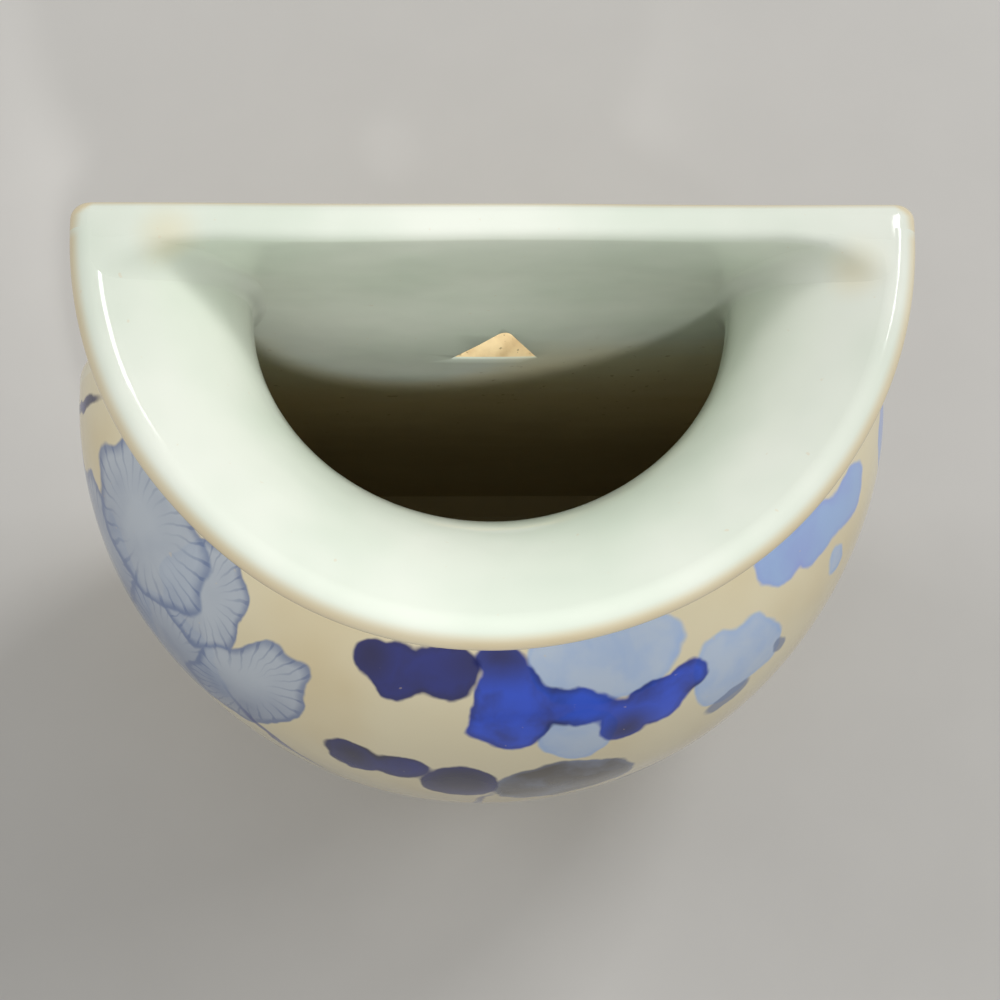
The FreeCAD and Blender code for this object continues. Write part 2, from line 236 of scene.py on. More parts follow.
# %% Shader arithmetic
MIX_FIRST = 6
MIX_SECOND = 7
MIX_RESULT = 2


class Wire:
    """A socket of a material's nodes that takes part in sums."""

    def __init__(self, tree, socket=None):
        self.tree = tree
        self.socket = socket

    def node(self, kind, settings=None, sockets=None, output=0):
        """Any node: its settings first, then numbers or wires for its sockets, then one output."""
        made = self.tree.nodes.new(kind)
        for key, value in (settings or {}).items():
            setattr(made, key, value)
        for key, value in (sockets or {}).items():
            if isinstance(value, Wire):
                self.tree.links.new(value.socket, made.inputs[key])
            else:
                made.inputs[key].default_value = value
        return Wire(self.tree, made.outputs[output])

    def math(self, operation, *others):
        return self.node("ShaderNodeMath", {"operation": operation}, dict(enumerate((self, *others))))

    def __add__(self, other):
        return self.math("ADD", other)

    __radd__ = __add__

    def __sub__(self, other):
        return self.math("SUBTRACT", other)

    def __rsub__(self, other):
        return self.node("ShaderNodeMath", {"operation": "SUBTRACT"}, {0: other, 1: self})

    def __mul__(self, other):
        return self.math("MULTIPLY", other)

    __rmul__ = __mul__

    def __truediv__(self, other):
        return self.math("DIVIDE", other)

    def rise(self, start, end):
        """0 up to `start` and 1 from `end`, smooth between. With `start` above `end` it counts down."""
        if start > end:
            return 1 - self.rise(end, start)
        sockets = {"Value": self, "From Min": start, "From Max": end}
        return self.node("ShaderNodeMapRange", {"interpolation_type": "SMOOTHSTEP"}, sockets)

    def colours(self, first, second):
        """The first colour where this share is 0, the second where it is 1."""
        sockets = {0: self, MIX_FIRST: first, MIX_SECOND: second}
        return self.node("ShaderNodeMix", {"data_type": "RGBA"}, sockets, MIX_RESULT)

    def vector(self, operation, other, output=0):
        return self.node("ShaderNodeVectorMath", {"operation": operation}, {0: self, 1: other}, output)

    def noise(self, scale, detail, output="Fac"):
        """Noise over places in millimetres, so `scale` is in waves per millimetre."""
        sockets = {"Vector": self, "Scale": scale, "Detail": detail}
        return self.node("ShaderNodeTexNoise", {}, sockets, output)

    def parts(self):
        return [self.node("ShaderNodeSeparateXYZ", {}, {0: self}, axis) for axis in range(3)]

    def near(self, point, reach):
        """1 at a point, falling to 0 at a distance of `reach` from it."""
        return self.vector("DISTANCE", point, "Value").rise(reach, 0)


print("beside sums, a wire knows", [name for name in vars(Wire) if not name.startswith("_")])

# %% [markdown]
# Every material starts from the Principled shader and from places on the object in millimetres, and ends
# with a colour, a roughness and a relief. Colours are written as they look on a screen and turned into
# the linear numbers that a shader mixes, by the standard screen curve.

# %% Starting and feeding a material
def tint(red, green, blue):
    """A colour as it looks on a screen, 0 to 255, as the linear numbers that a shader mixes."""
    shares = (channel / 255 for channel in (red, green, blue))
    linear = (s / 12.92 if s <= 0.04045 else ((s + 0.055) / 1.055) ** 2.4 for s in shares)
    return (*linear, 1.0)


def new_material(name):
    """A Principled material, with a wire that carries places on the object in millimetres."""
    material = bpy.data.materials.new(name)
    material.use_nodes = True
    tree = material.node_tree
    place = Wire(tree).node("ShaderNodeTexCoord", output="Object").vector("MULTIPLY", [1 / MM] * 3)
    return material, tree.nodes["Principled BSDF"], place


def plug(shader, colour, roughness, height):
    """Feed a Principled shader. The height of the relief is in millimetres."""
    sockets = {"Strength": 1.0, "Distance": MM, "Height": height}
    relief = height.node("ShaderNodeBump", {}, sockets)
    wires = {"Base Color": colour, "Roughness": roughness, "Normal": relief}
    for socket, wire in wires.items():
        wire.tree.links.new(wire.socket, shader.inputs[socket])


def report_material(material):
    print(material.name, len(material.node_tree.nodes), "nodes")


print(f"half of the screen's white is {tint(128, 128, 128)[0]:.2f} of its light")

# %% [markdown]
# ## Bare clay
# Where no glaze was brushed, the fired clay shows: in the cut of the hanging hole and under the foot.
# It is cream, dry and slightly sandy, with a few darker grains. Two noises make it, a soft one for the
# sand and a fine one, of which only the peaks count, for the grains.

# %% Bare clay
CREAM = tint(246, 224, 176)
SAND = tint(214, 186, 138)
GRAIN = tint(120, 92, 62)
SAND_WAVES = 0.25
SAND_PATCHES = (0.35, 0.75)
SAND_RELIEF = 0.10
GRAIN_WAVES = 1.3
GRAIN_PEAKS = (0.70, 0.78)
GRAIN_COVER = 0.6
GRAIN_RELIEF = 0.05
CLAY_ROUGHNESS = 0.72
CLAY_ROUGHER = 0.2


def clay_material(name):
    material, shader, place = new_material(name)
    sandy = place.noise(SAND_WAVES, detail=4)
    grains = place.noise(GRAIN_WAVES, detail=1)
    colour = sandy.rise(*SAND_PATCHES).colours(CREAM, SAND)
    colour = (grains.rise(*GRAIN_PEAKS) * GRAIN_COVER).colours(colour, GRAIN)
    roughness = CLAY_ROUGHNESS + sandy * CLAY_ROUGHER
    plug(shader, colour, roughness, sandy * SAND_RELIEF + grains * GRAIN_RELIEF)
    return material


bare_clay = clay_material("bare_clay")
report_material(bare_clay)

# %% [markdown]
# ## Browning
# The inside turns a faint olive below the mouth, and brown and darker farther down. The noise that
# breaks up where it starts is stretched sideways, so it lies in level bands. In one place on the slab
# it starts lower: that paler patch is painted reflected light.
# Levels are in millimetres above the top of the hanging hole.

# %% Browning of the inside
OLIVE = tint(228, 224, 194)
BROWN = tint(214, 198, 156)
DARK = tint(168, 152, 114)
OLIVE_LEVELS = (0, -18)
BROWN_LEVELS = (-12, -40)
DARK_LEVELS = (-30, -75)
BAND_STRETCH = (0.03, 0.03, 0.22)
BAND_SHIFT = 9
BLOT_WAVES = 0.05
BLOT_SHIFT = 12
# Place, reach and shift of a painted patch of reflected light on the slab.
PAINTED_LIGHT_PLACE = (-14, -4, -15)
PAINTED_LIGHT_REACH = 26
PAINTED_LIGHT_SHIFT = 30
SPOT_WAVES = 0.55
SPOT_PEAKS = (0.70, 0.76)
SPOT_COVER = 0.6


def browning(place, colour, share):
    """A colour that turns olive, then brown and darker, towards the bottom."""
    level = place.parts()[2]
    bands = place.vector("MULTIPLY", BAND_STRETCH).noise(1.0, detail=4)
    blots = place.noise(BLOT_WAVES, detail=3)
    depth = level + (bands - 0.5) * BAND_SHIFT + (blots - 0.5) * BLOT_SHIFT
    # Painted reflected light: round one place on the slab the browning starts lower, so it stays paler.
    depth = depth + place.near(PAINTED_LIGHT_PLACE, PAINTED_LIGHT_REACH) * PAINTED_LIGHT_SHIFT
    cover = depth.rise(*OLIVE_LEVELS) * share
    colour = cover.colours(colour, OLIVE)
    colour = (depth.rise(*BROWN_LEVELS) * share).colours(colour, BROWN)
    colour = (depth.rise(*DARK_LEVELS) * share).colours(colour, DARK)
    spots = place.noise(SPOT_WAVES, detail=1).rise(*SPOT_PEAKS) * cover
    return (spots * SPOT_COVER).colours(colour, DARK)


print("the stain begins at a level of", OLIVE_LEVELS[0], "and is darkest from", DARK_LEVELS[1], "mm")

# %% [markdown]
# The floor and its coil are bare clay under that browning, with a little silt that dulls and roughens
# them.

# %% Browned clay
SILT_WAVES = 0.3
SILT_ROUGHNESS = 0.6
SILT_ROUGHER = 0.25
SILT_RELIEF = 0.12


def browned_material(name):
    material, shader, place = new_material(name)
    colour = browning(place, SAND, 1.0)
    silt = place.noise(SILT_WAVES, detail=4)
    plug(shader, colour, SILT_ROUGHNESS + silt * SILT_ROUGHER, silt * SILT_RELIEF)
    return material


browned_clay = browned_material("browned_clay")
report_material(browned_clay)

# %% [markdown]
# ## Painting
# The belly is painted in blue under the glaze with flowers and leaves, a common scheme of blue-and-white
# ware. The painting is laid out on the belly unrolled flat: `across` runs along the belly and `up` along
# its side view, both in millimetres from the middle of the front at the belly's widest level. A little
# noise moves the places on this canvas, once in slow bends and once in a fine fray, so that no outline
# comes out as clean as it is laid out.

# %% Unrolled belly
BEND_WAVES = 0.11
BEND = 4
FRAY_WAVES = 0.5
FRAY = 0.7
MIDDLE = (0.5, 0.5, 0.5)


def wobble(flat, waves, detail, size):
    """Noise that moves a place on the canvas by up to half of `size` each way."""
    centred = flat.noise(waves, detail, "Color").vector("SUBTRACT", MIDDLE)
    return centred.vector("MULTIPLY", (size, size, 0))


def unroll(place):
    """Places on the belly, unrolled flat: across and up in millimetres."""
    x, y, z = place.parts()
    across = x.math("ARCTAN2", AXIS_Y / MM - y) * (BELLY_RADIUS / MM)
    height = z - BELLY_LEVEL / MM
    up = 0
    for side, radius in (("MAXIMUM", shoulder_radius / MM), ("MINIMUM", lower_radius / MM)):
        up = up + (height.math(side, 0.0) / radius).math("ARCSINE") * radius
    flat = across.node("ShaderNodeCombineXYZ", {}, {0: across, 1: up})
    bend = wobble(flat, BEND_WAVES, 2, BEND)
    fray = wobble(flat, FRAY_WAVES, 1, FRAY)
    return flat.vector("ADD", bend).vector("ADD", fray)


print(f"the unrolled belly is {math.pi * BELLY_RADIUS / MM:.0f} mm wide")

# %% [markdown]
# Each shape is a few ovals that run into each other like brush loads. An oval is written as its place
# across and up, half its length, half its width and its tilt in degrees. A wash is uneven inside, with
# more pigment where its edge dried, and darkest where the full brush was set down.

# %% Brush washes
RUN_TOGETHER = 2.0
LOAD_WAVES = 0.13
LOAD_PATCHES = (0.35, 0.75)
LOAD_INK = 0.6
DRIED_EDGE = (-1.3, -0.2)
DRIED_INK = 0.35
HEAVY_EDGE = (4.5, -3.0)
HEAVY_INK = 0.9
BRUSH_EDGE = (0.35, -0.35)
FULL_COVER = 0.95


def oval(canvas, spot):
    """Coordinates inside one oval of the layout, in which its edge is at distance 1."""
    across, up, length, width, tilt = spot
    sockets = {
        "Vector": canvas, "Location": (across, up, 0), "Rotation": (0, 0, math.radians(tilt)),
        "Scale": (length, width, 1),
    }
    return canvas.node("ShaderNodeMapping", {"vector_type": "TEXTURE"}, sockets)


def blot(canvas, spots):
    """Distance in millimetres from the edge of a few ovals that run together, less than 0 inside."""
    joined = None
    for spot in spots:
        edge = (oval(canvas, spot).vector("LENGTH", (0, 0, 0), "Value") - 1) * min(spot[2], spot[3])
        joined = edge if joined is None else joined.math("SMOOTH_MIN", edge, RUN_TOGETHER)
    return joined


def wash(ground, canvas, spots, pale, deep, cover=FULL_COVER, heavy=None):
    """Colour laid on with a full brush. In the heavy spots most of the pigment stays."""
    edge = blot(canvas, spots)
    load = canvas.noise(LOAD_WAVES, detail=3).rise(*LOAD_PATCHES)
    pooled = edge.rise(*DRIED_EDGE) * DRIED_INK + load * LOAD_INK
    if heavy:
        pooled = pooled.math("MAXIMUM", blot(canvas, heavy).rise(*HEAVY_EDGE) * HEAVY_INK)
    return (edge.rise(*BRUSH_EDGE) * cover).colours(ground, pooled.colours(pale, deep))


print("a brush stroke's edge is", BRUSH_EDGE[0] - BRUSH_EDGE[1], "mm soft")

# %% [markdown]
# A petal is drawn with a finer brush: a ruffled oval, darker along its edge, with veins that run out
# to it. Ruffles and veins are sine waves of the angle round the petal's middle, so a whole number of
# them goes round it. Towards its lower side the bloom gets darker: that is a painted dark reflection.

# %% Petals
RUFFLES = 7
RUFFLE = 0.05
VEINS = 26
VEIN_BEND = 5
VEIN_PEAKS = (0.6, 1.0)
VEIN_REACH = (0.3, 0.9)
VEIN_INK = 0.45
OUTLINE_REACH = (0.82, 0.99)
OUTLINE_INK = 0.75
TONE_WAVES = 0.09
TONE_PATCHES = (0.35, 0.8)
TONE_INK = 0.35
REFLECTION_LEVELS = (20, 8)
REFLECTION_INK = 0.45
PETAL_EDGE = (1.03, 0.97)
PETAL_COVER = 0.92


def petal(ground, canvas, spot, pale, deep):
    local = oval(canvas, spot)
    x, y = local.parts()[:2]
    angle = y.math("ARCTAN2", x)
    ruffle = (angle * RUFFLES).math("SINE") * RUFFLE
    reach = local.vector("LENGTH", (0, 0, 0), "Value") + ruffle
    waves = (angle * VEINS + reach * VEIN_BEND).math("SINE")
    veins = waves.rise(*VEIN_PEAKS) * reach.rise(*VEIN_REACH)
    tone = canvas.noise(TONE_WAVES, detail=2).rise(*TONE_PATCHES)
    # Painted dark reflection: the bloom darkens towards its lower side.
    dark_reflection = canvas.parts()[1].rise(*REFLECTION_LEVELS)
    ink = reach.rise(*OUTLINE_REACH) * OUTLINE_INK + veins * VEIN_INK + tone * TONE_INK + dark_reflection * REFLECTION_INK
    return (reach.rise(*PETAL_EDGE) * PETAL_COVER).colours(ground, ink.colours(pale, deep))


print(RUFFLES, "ruffles and", VEINS, "veins round a petal")

# %% [markdown]
# The layout: a pale bloom on the left, cobalt leaves over paler ones at the front, and soft leaves on
# the right. The same kinds of shape carry on over the lower belly, which stays bare near the foot.

# %% Painting layout
COBALT = tint(24, 78, 214)
INDIGO = tint(12, 34, 126)
NAVY = tint(6, 14, 80)
SKY = tint(148, 180, 228)
MIST = tint(182, 200, 224)
SLATE = tint(112, 128, 162)
HAZE = tint(180, 190, 202)
VIOLET = tint(140, 160, 224)
SMOKE = tint(54, 52, 62)
INK = tint(6, 12, 60)

BLOOM = [
    (-90, -4, 12, 10, 40), (-66, -16, 15, 11, -10), (-75, 6, 15, 10, 0), (-56, 8, 12, 11, 20),
    (-42, 15, 15, 8.5, 60), (-56, 25.5, 9, 11, 0), (-72, 23, 17, 12, 5),
]
SECOND_BLOOM = [
    (58, -34, 13, 10, 30), (34, -34, 13, 10, -30), (46, -20, 13, 10, 90), (46, -38, 10, 9, 0),
]
PALE_LEAVES = [
    (24, 33, 14, 7.5, 0), (13, 35, 6, 5, 0), (15, 20, 6.5, 6, 0), (42, 20, 6.5, 8, 0),
    (49, 19, 5.5, 7, 0), (70, 14.5, 3, 2.4, 20),
]
SHADE_LEAVES = [
    (12.5, 4, 11.5, 9.5, 0), (30, -10, 8, 4.5, -20), (-6, -30, 11, 5, 35), (-36, -22, 8, 4, 30),
    (84, -22, 9, 4.5, -40),
]
STEMS = [
    (-42, -31, 20, 0.8, -25), (26, -23, 19, 0.8, -51), (70, -24, 16, 0.8, 70), (-34, 2, 12, 0.8, -40),
    (-88, -34, 14, 0.8, 60), (-2, -14, 16, 0.8, 80),
]
FRONT_LEAVES = [
    (2, 36, 5, 2.5, 0), (4, 27, 7.5, 8.5, 0), (-1, 23, 3, 2, 30), (14, 27, 9, 3.4, -20),
    (23, 20.5, 4.5, 4.2, 0), (29, 22, 5.5, 5.2, 0), (35, 24, 4.5, 3, 15),
]
SMALL_LEAVES = [
    (-22.5, 34, 4, 3.2, 0), (-17, 33, 5.5, 5, 0), (-9, 34, 7.5, 4.6, 0), (-50, -40, 9, 4, -50),
    (-24, -43, 9, 4.5, -20), (8, -45, 10, 4.5, -15), (14, -26, 8, 4, 20), (72, -8, 9, 4.5, 60),
    (-97, -20, 8, 4, 60),
]
LOW_LEAVES = [
    (-21.5, 10.5, 4.8, 4.2, -20), (-14, 10.5, 4.5, 3.4, 0), (-4, 7, 6, 6.5, 0), (-98.5, 12, 8, 1.1, 82),
]
HEAVY_SPOTS = [
    (2, 36.5, 6, 3, 0), (23, 18.5, 3, 2.5, 0), (-23, 34, 3, 3, 0), (-22, 11, 3, 3, 0), (-4, 8, 5, 5, 0),
]
EDGE_STROKES = [(41, 12, 4.6, 2, 5), (53, 14, 1.4, 1.6, 0)]
RIGHT_LEAVES = [(61, 29, 6, 4.4, -25), (70, 24.5, 7, 5, -25), (79, 20, 7, 4, -15), (96, 4, 7, 9, 0)]
print(len(BLOOM + SECOND_BLOOM), "petals and", len(STEMS), "stems laid out")

# %% [markdown]
# The layers go on as a painter lays them: blooms and stems first, pale leaves next, and the dark strokes
# last, over everything else. Thin washes let some of the ground through.

# %% Painting
THIN_COVER = 0.8
LIGHT_COVER = 0.9


def painting(place, ground):
    canvas = unroll(place)
    for spot in BLOOM + SECOND_BLOOM:
        ground = petal(ground, canvas, spot, HAZE, SLATE)
    ground = wash(ground, canvas, STEMS, SLATE, INDIGO, THIN_COVER)
    ground = wash(ground, canvas, PALE_LEAVES, MIST, SKY, LIGHT_COVER)
    ground = wash(ground, canvas, EDGE_STROKES, SLATE, SLATE, THIN_COVER)
    ground = wash(ground, canvas, SHADE_LEAVES, SMOKE, SLATE, LIGHT_COVER)
    ground = wash(ground, canvas, RIGHT_LEAVES, SKY, VIOLET, LIGHT_COVER)
    ground = wash(ground, canvas, FRONT_LEAVES, COBALT, NAVY, heavy=HEAVY_SPOTS)
    ground = wash(ground, canvas, LOW_LEAVES, INDIGO, INK, heavy=HEAVY_SPOTS)
    return wash(ground, canvas, SMALL_LEAVES, INDIGO, NAVY, heavy=HEAVY_SPOTS)


print(len(FRONT_LEAVES + LOW_LEAVES + SMALL_LEAVES), "dark brush loads go on last")

# %% [markdown]
# ## Glaze
# A thick glossy glaze covers the clay. Inside it is a cool white with a breath of green, outside a warm
# ivory that turns tan where it ran thin under the lip. It is never quite level: slow ripples bend the
# reflections, and fine pitting takes the hardest shine off. Below the mouth it is a little duller
# inside.

# %% Glaze
COOL_WHITE = tint(234, 238, 226)
POOLED = tint(214, 224, 208)
IVORY = tint(226, 216, 184)
WARM_IVORY = tint(217, 202, 164)
TAN = tint(220, 200, 164)
RUST = tint(226, 200, 130)
CLOUD_WAVES = 0.03
POOLED_CLOUDS = (0.3, 0.75)
WARM_CLOUDS = (0.35, 0.7)
THIN_CLOUDS = (0.2, 0.6)
THIN_LEVELS = (30, 41)
THIN_TAN = 0.3
RUSTY_PLACES = ((-44, -5, 43), (49, -9, 41))
RUST_REACH = 6
RUST_COVER = 0.3
SPECK_WAVES = 0.8
SPECK_PEAKS = (0.76, 0.82)
SPECK_COVER = 0.3
PIT_WAVES = 0.5
PIT_DEPTH = 0.01
RIPPLE_WAVES = 0.06
RIPPLE_HEIGHT = 0.35
GLOSS = 0.07
PIT_DULLER = 0.09
DULL_LEVELS = (26, -4)
INSIDE_DULLER = 0.12
GLAZE_IOR = 1.5


def glaze_material(name, painted):
    material, shader, place = new_material(name)
    level = place.parts()[2]
    outside = place.node("ShaderNodeAttribute", {"attribute_name": "outside"}, output="Fac")
    clouds = place.noise(CLOUD_WAVES, detail=3)
    pits = place.noise(PIT_WAVES, detail=2)
    inner = clouds.rise(*POOLED_CLOUDS).colours(COOL_WHITE, POOLED)
    outer = clouds.rise(*WARM_CLOUDS).colours(IVORY, WARM_IVORY)
    if painted:
        outer = painting(place, outer)
    thin = level.rise(*THIN_LEVELS) * clouds.rise(*THIN_CLOUDS) * THIN_TAN
    outer = thin.colours(outer, TAN)
    for point in RUSTY_PLACES:
        inner = (place.near(point, RUST_REACH) * RUST_COVER).colours(inner, RUST)
    inner = browning(place, inner, 1 - outside)
    colour = outside.colours(inner, outer)
    specks = place.noise(SPECK_WAVES, detail=1).rise(*SPECK_PEAKS) * SPECK_COVER
    colour = specks.colours(colour, TAN)
    dulled = level.rise(*DULL_LEVELS) * (1 - outside) * INSIDE_DULLER
    ripples = place.noise(RIPPLE_WAVES, detail=2)
    relief = ripples * RIPPLE_HEIGHT + pits * PIT_DEPTH
    plug(shader, colour, GLOSS + pits * PIT_DULLER + dulled, relief)
    shader.inputs["IOR"].default_value = GLAZE_IOR
    return material


glaze = glaze_material("glaze", painted=False)
painted_glaze = glaze_material("painted_glaze", painted=True)
report_material(glaze)
report_material(painted_glaze)

# %% [markdown]
# ## The belly
# The round body carries the painting. On the wheel it is one sweep of the hand from the foot to the
# throat. Here its side view, outside and inside, is drawn with the pen and spun through half a turn.

# %% Belly
TURN_STEPS = 128
LOWER_STEPS = 40
SHOULDER_STEPS = 28
NECK_STEPS = 16
INNER_LOWER_STEPS = 32
INNER_SHOULDER_STEPS = 24


def away_from_axis(place, normal):
    """How far a normal points away from the vessel's upright axis."""
    return Vector((place.x, place.y - AXIS_Y, 0)).normalized().dot(normal)


def shell_side(place, normal):
    return math.copysign(1, away_from_axis(place, normal))


def half_turn(bm):
    """Spin a closed side view round the front and close the two cut faces that meet the slab."""
    bmesh.ops.spin(
        bm, geom=bm.verts[:] + bm.edges[:], cent=(0, AXIS_Y, 0), axis=(0, 0, 1),
        angle=-math.pi, steps=TURN_STEPS,
    )
    bmesh.ops.holes_fill(bm, edges=[edge for edge in bm.edges if edge.is_boundary])


def draw_belly_outside(bm, pen):
    pen = draw_arc(bm, pen, lower_centre, lower_turn, LOWER_STEPS)
    pen = draw_arc(bm, pen, shoulder_centre, shoulder_turn, SHOULDER_STEPS)
    return draw_arc(bm, pen, neck_centre, -shoulder_turn, NECK_STEPS)


def make_belly():
    bm = bmesh.new()
    first = put_pen(bm, BASE_RADIUS, FOOT_LEVEL)
    pen = draw_belly_outside(bm, first)
    pen = draw_line(bm, pen, THROAT_RADIUS, LAND_LEVEL)
    pen = draw_line(bm, pen, THROAT_RADIUS, NECK_LEVEL)
    pen = draw_arc(bm, pen, neck_centre, shoulder_turn, NECK_STEPS)
    pen = draw_arc(bm, pen, shoulder_centre, -shoulder_turn, INNER_SHOULDER_STEPS)
    inner_lower_turn = math.asin(BELLY_RISE / (lower_radius - WALL))
    pen = draw_arc(bm, pen, lower_centre, -inner_lower_turn, INNER_LOWER_STEPS)
    bm.edges.new((pen, first))
    half_turn(bm)
    make_uneven(bm)
    finish_piece(bm, "painted_belly", "belly", [painted_glaze], shell_side)


make_belly()

# %% [markdown]
# ## The mouth
# The mouth is a trumpet with a thick rolled lip, thrown separately and joined at the throat. Its two
# flares touch the round roll of the lip, so the glaze runs over it without an edge.

# %% Mouth
UNDER_STEPS = 24
ROLL_STEPS = 28
INNER_STEPS = 28


def draw_mouth_outside(bm, pen):
    pen = draw_line(bm, pen, throat_outside, LAND_LEVEL)
    return draw_arc(bm, pen, under_centre, -under_turn, UNDER_STEPS)


def lip_side(place, normal):
    """Outwards or downwards counts as outside, so that the roll of the lip keeps the inner glaze."""
    return away_from_axis(place, normal) - min(normal.z, 0)


def make_mouth():
    bm = bmesh.new()
    first = put_pen(bm, throat_outside, NECK_LEVEL)
    pen = draw_mouth_outside(bm, first)
    pen = draw_arc(bm, pen, lip_centre, under_turn + math.pi - inner_turn, ROLL_STEPS)
    pen = draw_arc(bm, pen, inner_centre, inner_turn, INNER_STEPS)
    bm.edges.new((pen, first))
    half_turn(bm)
    make_uneven(bm)
    finish_piece(bm, "flared_mouth", "mouth", [glaze], lip_side)


make_mouth()

# %% [markdown]
# ## The back slab
# The slab closes the back and carries the hole for the nail. A potter cuts it from a rolled sheet round
# the half vessel, so its outline is the vessel's own. Its top edge is thick and round and carries on the
# lip: the inside face swells forward into a bead there, most of all in the corners, where the bead runs
# into the lip. Round the hole the drying sheet bowed forward a little.

# %% Top bead and bow of the slab
TOP_ROUND = 1.6 * MM
BEAD = 1.4 * MM
BEAD_DEPTH = 34 * MM
BEAD_FADE = 0.8 * MM
CORNER_START = 37 * MM
CORNER_LENGTH = 15 * MM
CORNER_SWELL = 1.3
BOW = 1.0 * MM
BOW_REACH = 40 * MM
HOLE_SILL = -12 * MM


def bead(place):
    """How far the slab's inside face leaves its plane: a rounded top edge and a swelling below it."""
    side = abs(place.x)
    drop = LIP_LEVEL - place.z
    round_part = min(max(TOP_ROUND - drop, 0), TOP_ROUND)
    lean = TOP_ROUND - math.sqrt(TOP_ROUND ** 2 - round_part ** 2)
    corner = 1 + CORNER_SWELL * ease((side - CORNER_START) / CORNER_LENGTH)
    swell = BEAD * corner * ease((BEAD_DEPTH - drop) / (BEAD_DEPTH - TOP_ROUND))
    in_clay = inner_radius - math.hypot(side - inner_centre[0], place.z - inner_centre[1])
    return (lean - swell) * ease(1 - in_clay / BEAD_FADE)


def bow(place):
    """How far the middle of the slab stands forward: a rolled sheet never dries quite flat."""
    return BOW * ease(1 - math.hypot(place.x, place.z - HOLE_SILL / 2) / BOW_REACH)


print(f"bead {BEAD / MM:.1f} mm proud, {BEAD * (1 + CORNER_SWELL) / MM:.1f} mm in the corners")

# %% [markdown]
# The hole is cut by hand: it sits slightly to the right and its top leans the same way. Three planes
# bound it. The face is scored along each of them, and what lies inside all three is taken out.

# %% Hanging hole
HOLE_HALF_WIDTH = 6.2 * MM
HOLE_ROUND = 0.9 * MM
HOLE_SHIFT = 1.2 * MM
HOLE_LEAN = 1.2 * MM
NEAR = 0.01 * MM


def hole_slope(half_width):
    """Lean of a side of the hole from the upright, so that it touches the round of the top."""
    drop = -HOLE_SILL - HOLE_ROUND
    return math.atan2(half_width, drop) - math.asin(HOLE_ROUND / math.hypot(half_width, drop))


right_slope = hole_slope(HOLE_HALF_WIDTH - HOLE_LEAN)
left_slope = hole_slope(HOLE_HALF_WIDTH + HOLE_LEAN)


def hole_planes():
    """Planes that bound the hole: its sill and its two slopes."""
    planes = [(Vector((HOLE_SHIFT, AXIS_Y, HOLE_SILL)), Vector((0, 0, -1)))]
    top = Vector((HOLE_SHIFT + HOLE_LEAN, AXIS_Y, -HOLE_ROUND))
    for side, slope in ((1, right_slope), (-1, left_slope)):
        outward = Vector((side * math.cos(slope), 0, math.sin(slope)))
        planes.append((top + outward * HOLE_ROUND, outward))
    return planes


def near_hole(place):
    beside = abs(place.x - HOLE_SHIFT) < HOLE_HALF_WIDTH + NEAR
    return beside and HOLE_SILL - NEAR < place.z < 2 * HOLE_ROUND


def score(bm, faces, point, normal):
    parts = {part for face in faces for part in (face, *face.edges, *face.verts)}
    bmesh.ops.bisect_plane(bm, geom=list(parts), dist=NEAR, plane_co=point, plane_no=normal)


def cut_hole(bm):
    """Score the face along each plane and take out what lies inside all of them."""
    inside = bm.faces[:]
    passed = []
    for point, outward in hole_planes():
        score(bm, inside, point, outward)
        passed.append((point, outward))
        inside = [
            face for face in bm.faces
            if all((face.calc_center_median() - co).dot(no) < 0 for co, no in passed)
        ]
    bmesh.ops.delete(bm, geom=inside, context="FACES")


print(f"hole {2 * HOLE_HALF_WIDTH / MM:.1f} mm wide and {-HOLE_SILL / MM:.0f} mm high")

# %% [markdown]
# Half of the outline is drawn and mirrored. Bridging the two halves and dissolving the rungs leaves one
# large face. With the hole cut, pushing the face back makes the edges and the walls of the hole at once.
# The edges that a finger or a wet sponge would round are then picked out and bevelled.

# %% Sheet and edges of the slab
SLAB_ROLL_STEPS = 20
WALL_EDGE = 2.2 * MM
WALL_EDGE_STEPS = 6
HOLE_EDGE = 0.45 * MM
HOLE_EDGE_STEPS = 3
HOLE_TIP_STEPS = 6


def draw_slab_face(bm):
    pen = draw_belly_outside(bm, put_pen(bm, BASE_RADIUS, FOOT_LEVEL))
    pen = draw_mouth_outside(bm, pen)
    draw_arc(bm, pen, lip_centre, under_turn + math.pi / 2, SLAB_ROLL_STEPS)
    bmesh.ops.mirror(bm, geom=bm.verts[:] + bm.edges[:], merge_dist=NEAR, axis="X")
    bmesh.ops.bridge_loops(bm, edges=bm.edges[:])
    bmesh.ops.dissolve_faces(bm, faces=bm.faces[:])


def thicken(bm):
    thick = bmesh.ops.extrude_face_region(bm, geom=bm.faces[:])["geom"]
    moved = [part for part in thick if isinstance(part, bmesh.types.BMVert)]
    bmesh.ops.translate(bm, vec=(0, -AXIS_Y, 0), verts=moved)
    bmesh.ops.recalc_face_normals(bm, faces=bm.faces[:])


def round_edges(bm, edges, offset, segments):
    bmesh.ops.bevel(
        bm, geom=edges, affect="EDGES", offset=offset, offset_type="OFFSET", segments=segments,
        profile=0.5, material=-1, clamp_overlap=False,
    )


def is_level(edge):
    """True for an edge that keeps its depth, so it doesn't run through the slab."""
    return abs(edge.verts[0].co.y - edge.verts[1].co.y) < NEAR


def slab_edges(bm):
    """The rim of the hole and the outline on the wall side.

    On the way it marks the walls of the hole as bare clay.
    """
    rim = []
    wall_side = []
    for edge in bm.edges:
        ends = [vert.co for vert in edge.verts]
        corner = edge.calc_face_angle(0) > SHARP
        level = is_level(edge)
        above_foot = max(end.z for end in ends) > FOOT_LEVEL + NEAR
        if all(near_hole(end) for end in ends):
            if not level:
                for face in edge.link_faces:
                    face.material_index = 1
            elif corner:
                rim.append(edge)
        elif level and corner and above_foot and ends[0].y > -NEAR:
            wall_side.append(edge)
    return rim, wall_side


